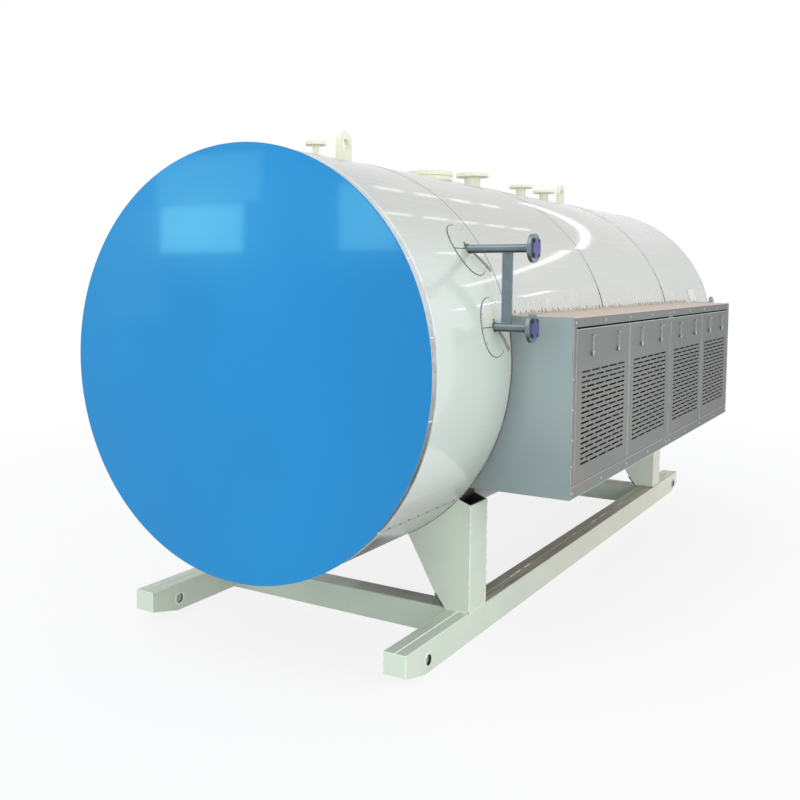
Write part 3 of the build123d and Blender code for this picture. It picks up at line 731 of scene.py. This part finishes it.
def dress_skid():
    welds, dark_joints_and_shade = bmesh.new(), bmesh.new()

    def bead(mesh, side, start, end, radius):
        lay_bead(mesh, (side * start[0], *start[1:]), (side * end[0], *end[1:]), radius)

    for side in (-1, 1):
        bead(welds, side, (RAIL_SEAM, RAIL_FRONT + 4, RAIL_TOP - 1),
             (RAIL_SEAM, RAIL_REAR - 4, RAIL_TOP - 1), 4.5)
        for y, z in SLING_PLACES:
            lay_ring(welds, (side * (RAIL_OUTER + 1), y, z), (1, 0, 0), 36, 3.2)
            lay_ring(welds, (side * RAIL_INNER, y, z), (1, 0, 0), 33, 4)
        # Pale beads along the rails' top edges and front corners are painted highlights
        for x in (RAIL_OUTER - 2.6, RAIL_INNER + 2.6):
            bead(welds, side, (x, RAIL_FRONT, RAIL_TOP - 2.6), (x, SADDLES[0] - 112, RAIL_TOP - 2.6), 2)
            bead(welds, side, (x, RAIL_FRONT, RAIL_NOSE + 5), (x, RAIL_FRONT, RAIL_TOP - 3), 2.2)
        bead(welds, side, (RAIL_OUTER - 3, RAIL_FRONT, RAIL_TOP - 1.5),
             (RAIL_INNER + 3, RAIL_FRONT, RAIL_TOP - 1.5), 2)
        for y in SADDLES:
            foot = RAIL_TOP + 1
            for edge in (y - LEG_DEPTH / 2, y + LEG_DEPTH / 2):
                bead(welds, side, (RAIL_OUTER - 4, edge, foot), (RAIL_OUTER - 140, edge, foot), 4)
                # Welds up the legs' outer corners, pale as painted highlights
                bead(welds, side, (RAIL_OUTER - 1, edge, RAIL_TOP + 8), (RAIL_OUTER - 1, edge, LEG_TOP), 3)
            bead(welds, side, (RAIL_OUTER, y - 104, foot), (RAIL_OUTER, y + 104, foot), 4)
            bead(welds, side, (RAIL_INNER, y - 70, RAIL_TOP - 6), (RAIL_INNER, y + 70, RAIL_TOP - 6), 5)
    add_piece("skid_welds_and_edge_highlights", welds, "weld")

    # Dark lines at the legs: joints with the drum and rail, and painted shade along the legs' lower inner edges
    # and rear corners
    for y in SADDLES:
        for face in (y - LEG_DEPTH / 2, y + LEG_DEPTH / 2):
            lay_arc(dark_joints_and_shade, face, LEG_INNER, LEG_OUTER, 2.6, 0.5)
            lay_arc(dark_joints_and_shade, face, 180 - LEG_OUTER, 180 - LEG_INNER, 2.6, 0.5)
            for side in (-1, 1):
                bead(dark_joints_and_shade, side, (669, face, 234), (722, face, 165), 6)
                bead(dark_joints_and_shade, side, (RAIL_OUTER - 5, face, RAIL_TOP + 3), (RAIL_OUTER, face, RAIL_TOP + 3), 4)
        for side in (-1, 1):
            face = y + LEG_DEPTH / 2
            bead(dark_joints_and_shade, side, (RAIL_OUTER, face, RAIL_TOP + 8), (RAIL_OUTER, face, LEG_TOP), 1.8)
    add_piece("leg_joints_and_shade", dark_joints_and_shade, "seal_and_shade")


def dress_top():
    welds = bmesh.new()
    height = CLAD_TOP + 1
    for y, pipe in TOP_FITTINGS.values():
        lay_ring(welds, (0, y, height), (0, 0, 1), pipe / 2 + 3, 5)
    half, end = LUG_THICKNESS / 2, LUG_HALF + 1
    for y in LUGS:
        for x in (-half, half):
            lay_bead(welds, (x, y - LUG_HALF, height), (x, y + LUG_HALF, height), 5)
        for edge in (-end, end):
            lay_bead(welds, (-half, y + edge, height), (half, y + edge, height), 5)
    add_piece("top_welds", welds, "cream")


def dress_cabinet():
    screws = bmesh.new()
    face = CABINET_FACE
    for places, z in ((HEADER_SCREWS, 1714), (SILL_SCREWS, 862)):
        for y in places:
            add_button(screws, (face, y, z), (1, 0, 0), 7, 3.5)
    for z in POST_SCREWS:
        for y in (CABINET_FRONT + 18, CABINET_REAR - 18):
            add_button(screws, (face, y, z), (1, 0, 0), 6, 3)
    add_piece("cabinet_screws", screws, "screw")

    # Light strips on the folded edges of the sill, posts, cabinet foot and doors are painted highlights
    highlight_trims, shadows = bmesh.new(), bmesh.new()
    front, rear = CABINET_FRONT + 3, CABINET_REAR - 3
    add_bar(highlight_trims, (face - 2, front, DOOR_LOW), (face + 1.5, rear, DOOR_LOW + 3.5))
    # Painted shadow: a dark bar over the sill
    add_bar(shadows, (face - 2, front, DOOR_LOW + 3.6), (face + 1, rear, DOOR_LOW + 6.4))
    for y in (CABINET_FRONT, CABINET_REAR - 6):
        add_bar(highlight_trims, (face - 2, y, CABINET_BOTTOM), (face + 1.5, y + 6, CABINET_TOP))
    add_bar(highlight_trims, (face - 2, CABINET_FRONT, CABINET_BOTTOM), (face + 1.2, CABINET_REAR, CABINET_BOTTOM + 4))
    for middle in DOOR_MIDDLES:
        left, right = middle - DOOR_HALF, middle + DOOR_HALF
        add_bar(highlight_trims, (face - 1, left, DOOR_HIGH - 4), (face + 1, right, DOOR_HIGH))
        for y in (left - 1, right - 3):
            add_bar(highlight_trims, (face - 1, y, DOOR_LOW + 7), (face + 1, y + 4, DOOR_HIGH - 4))
    add_piece("cabinet_fold_highlights", highlight_trims, "fold")
    add_piece("sill_gap_shadow", shadows, "seal_and_shade")

    def drum_x(z):
        return math.sqrt(CLAD**2 - (z - AXIS) ** 2)

    ticks = bmesh.new()
    y = CABINET_FRONT + 20
    while y < CABINET_REAR - 20:
        y += chance.uniform(34, 84)
        low, lean = CABINET_TOP + 2, chance.uniform(-4, 4)
        spots = [(drum_x(z) + 0.5, y + shift, z)
                 for z, shift in ((low, 0), (low + chance.uniform(10, 26), lean))]
        lay_bead(ticks, *spots, chance.uniform(2, 3.6), step=40, sides=5)
    add_piece("cut_ticks", ticks, "seal_and_shade")

    caulk = bmesh.new()
    line = drum_x(CABINET_TOP) + 1
    steps = 300
    stride = (CABINET_REAR - CABINET_FRONT) / steps
    for index in range(steps):
        y = CABINET_FRONT + index * stride
        size = chance.uniform(4, 10)
        lay_bead(caulk, (line, y, CABINET_TOP + 1 + chance.uniform(-1, 3)),
                 (line, y + stride * 1.2, CABINET_TOP + 2), size, step=30, sides=5)
    add_piece("cabinet_caulk", caulk, "caulk")


# Floor, light and camera
def add_lamp(name, place, target, width, height, power, tone=(1, 1, 1), mirrored=True):
    """A square lamp that the camera doesn't see, and reflections only if it is mirrored."""
    data = bpy.data.lights.new(name, "AREA")
    data.shape = "RECTANGLE"
    data.size, data.size_y, data.energy = width, height, power
    data.color = tone
    obj = bpy.data.objects.new(name, data)
    aim = (Vector(place) - Vector(target)).to_track_quat("Z", "Y").to_matrix().to_4x4()
    obj.matrix_world = Matrix.Translation(place) @ aim
    obj.visible_camera = False
    obj.visible_glossy = mirrored
    scene.collection.objects.link(obj)


def set_floor():
    mesh = bmesh.new()
    bmesh.ops.create_grid(mesh, x_segments=1, y_segments=1, size=60)
    data = bpy.data.meshes.new("floor")
    mesh.to_mesh(data)
    mesh.free()
    data.materials.append(MATERIALS["floor"])
    floor = bpy.data.objects.new("floor", data)
    scene.collection.objects.link(floor)


def set_backdrop():
    """Soft light from all sides, and plain white to the eye and in reflections."""
    world = bpy.data.worlds.new("studio")
    scene.world = world
    world.use_nodes = True
    tree = world.node_tree
    sky = tree.nodes["Background"]
    sky.inputs["Color"].default_value = (0.95, 0.97, 1.0, 1)
    sky.inputs["Strength"].default_value = 0.9
    backdrop = tree.nodes.new("ShaderNodeBackground")
    backdrop.inputs["Color"].default_value = (1, 1, 1, 1)
    paths = tree.nodes.new("ShaderNodeLightPath").outputs
    reflected, shown = (tree.nodes.new("ShaderNodeMath") for _ in range(2))
    for node, first, second in ((reflected, paths["Is Glossy Ray"], paths["Is Transmission Ray"]),
                                (shown, reflected.outputs[0], paths["Is Camera Ray"])):
        node.operation = "MAXIMUM"
        tree.links.new(first, node.inputs[0])
        tree.links.new(second, node.inputs[1])
    choose = tree.nodes.new("ShaderNodeMixShader")
    tree.links.new(shown.outputs[0], choose.inputs["Fac"])
    tree.links.new(sky.outputs[0], choose.inputs[1])
    tree.links.new(backdrop.outputs[0], choose.inputs[2])
    tree.links.new(choose.outputs[0], tree.nodes["World Output"].inputs["Surface"])


def set_lamps():
    for name, place, target, width, height, power in (
            ("roof_light", (0.5, -1.0, 7.5), (0, -1, 1.5), 10.0, 12.0, 60),
            ("front_light", (1.0, -10.0, 4.0), (0, -2.8, 1.4), 6.0, 4.0, 140),
            ("low_light", (3.0, -9.0, 0.9), (0.3, 1.5, 0.5), 3.0, 1.0, 40),
            ("side_light", (8.5, -3.5, 2.6), (0.6, -0.5, 1.2), 4.0, 3.0, 150)):
        add_lamp(name, place, target, width, height, power, mirrored=False)

    # Hall windows that the blue cover mirrors
    hall, glass = -9.325, (0.37, 1.0, 0.9)
    for name, x, z, width, height, power in (
            ("left_window", -6.02, 2.6, 1.49, 0.65, 25), ("left_window_pane", -5.55, 2.62, 0.5, 0.55, 5),
            ("left_window_top", -5.9, 3.28, 1.9, 0.66, 12.5), ("left_window_post", -5.3, 3.25, 0.3, 0.6, 3),
            ("near_window", -3.3, 2.7, 0.87, 0.84, 14), ("near_window_corner", -3.6, 2.4, 0.24, 0.24, 1),
            ("wall_glow", -7.4, 2.1, 1.3, 1.6, 4)):
        add_lamp(name, (x, hall, z), (x, 0, z), width, height, power, glass)

    # Roof windows behind the drum, which show as streaks in its sheet
    roof, warm = 6.5, (1.0, 0.95, 0.89)
    for x, starts, width, power in ((0.43, (4.6, 5.7, 6.8, 7.9, 9.0), 0.18, 0.9),
                                    (-1.57, (5.1, 6.3, 7.5, 8.7), 0.3, 1.1), (2.83, (7.2, 8.2), 0.13, 1.2)):
        for index, start in enumerate(starts):
            y = start + 0.4
            add_lamp("roof_window_%+.0f_%d" % (x, index), (x, y, roof), (x, y, 0), width, 0.8, power, warm)
    for name, x, y, width, depth, power in (
            ("far_window_right", 3.9, 12.3, 4.0, 0.55, 24), ("far_window_left", -0.8, 12.9, 5.0, 0.55, 31),
            ("end_window_near", 7.3, 19.2, 1.0, 0.7, 12), ("end_window_far", 9.4, 19.2, 1.7, 0.7, 20),
            ("end_window_last", 12.6, 19.2, 1.6, 0.6, 16)):
        add_lamp(name, (x, y, roof), (x, y, 0), width, depth, power)


MATERIALS = {name: finish.material
             for make in (finish_drum, finish_skid, finish_fittings, finish_cabinet, finish_seams, finish_floor)
             for name, finish in make().items()}

# The first start that fits a CAD node's name gives its finish
NODE_FINISHES = {
    "cladding": "sheet", "pressure_shell": "primer", "front_end": "blue", "rear_end": "blue",
    "front_rim": "band", "rear_rim": "band", "skid": "skid", "cross": "skid", "saddle": "skid",
    "flange_cap": "cap", "gauge": "grey", "side_nozzle": "grey", "cabinet_top_plate": "dusty",
    "cabinet_front_panel": "cabinet", "cabinet_rear_panel": "cabinet", "cabinet_floor": "under",
    **{"cabinet_door_%d" % number: "door_%d" % number for number in (1, 2, 3, 4)},
    "cabinet": "front", "door_latches": "steel",
}
for node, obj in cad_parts.items():
    finish = next((made for start, made in NODE_FINISHES.items() if node.startswith(start)), "cream")
    for entry in obj.material_slots:
        entry.material = MATERIALS[finish]

dress_drum()
dress_gauge()
dress_skid()
dress_top()
dress_cabinet()

set_camera()
set_floor()
set_backdrop()
set_lamps()
